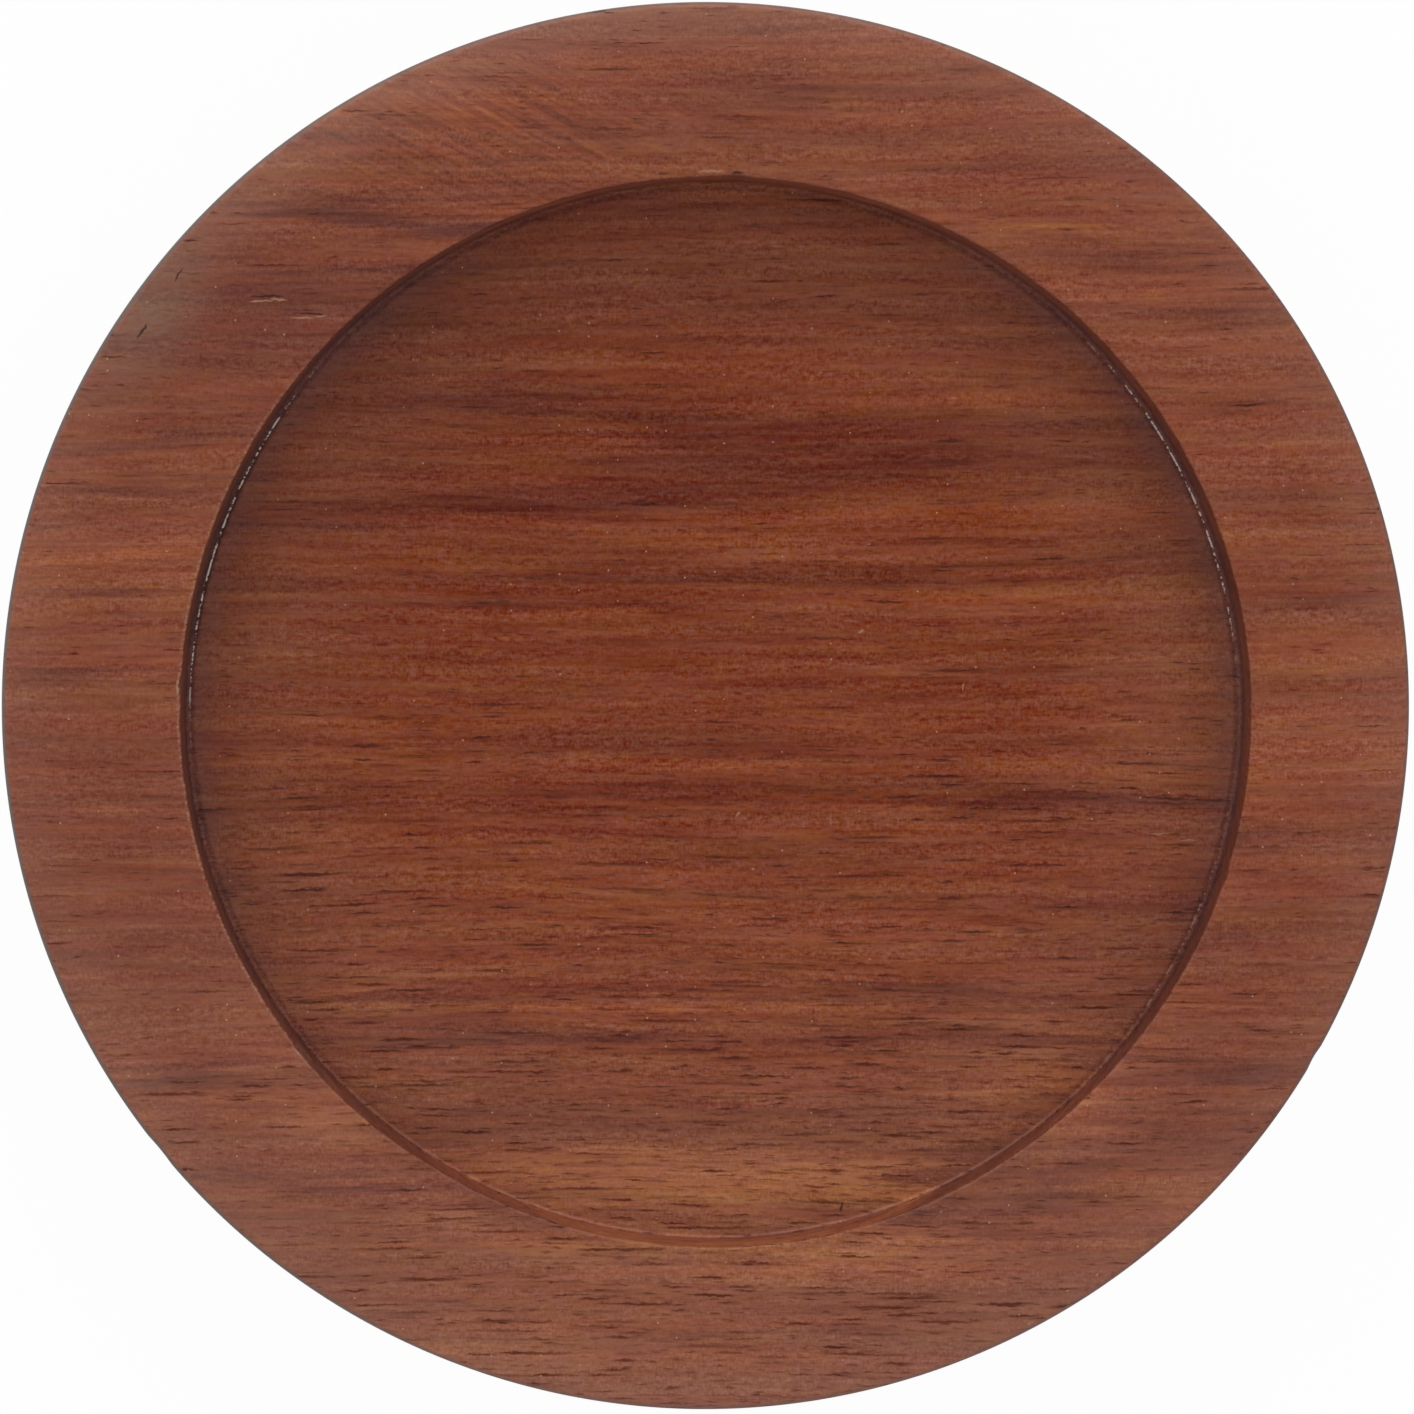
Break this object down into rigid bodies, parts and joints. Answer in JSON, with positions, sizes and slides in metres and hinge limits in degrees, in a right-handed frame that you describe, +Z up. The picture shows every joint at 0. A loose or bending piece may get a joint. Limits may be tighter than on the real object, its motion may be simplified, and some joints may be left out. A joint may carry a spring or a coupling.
{
  "type": "pepper mill tray",
  "caption": "Round turned hardwood tray with a flat rim and a shallow round recess that seats a pepper mill and catches its grounds, on small rubber non-slip pads.",
  "frame": {"origin": "on the table under the middle of the round board, at the height of the pads' undersides", "axes": "+Z up out of the recess; +X along the wood's grain, which runs left to right in the picture; +Y to the top of the picture"},
  "size_m": [0.09, 0.09, 0.0135],
  "materials": {
    "oiled_hardwood": "reddish-brown straight-grained hardwood with open pores under a thin satin lacquer",
    "pad_rubber": "matt dark rubber"
  },
  "bodies": {
    "root": {"tray_body": "oiled_hardwood", "non_slip_pad_1": "pad_rubber", "non_slip_pad_2": "pad_rubber", "non_slip_pad_3": "pad_rubber", "non_slip_pad_4": "pad_rubber"}
  },
  "joints": []
}
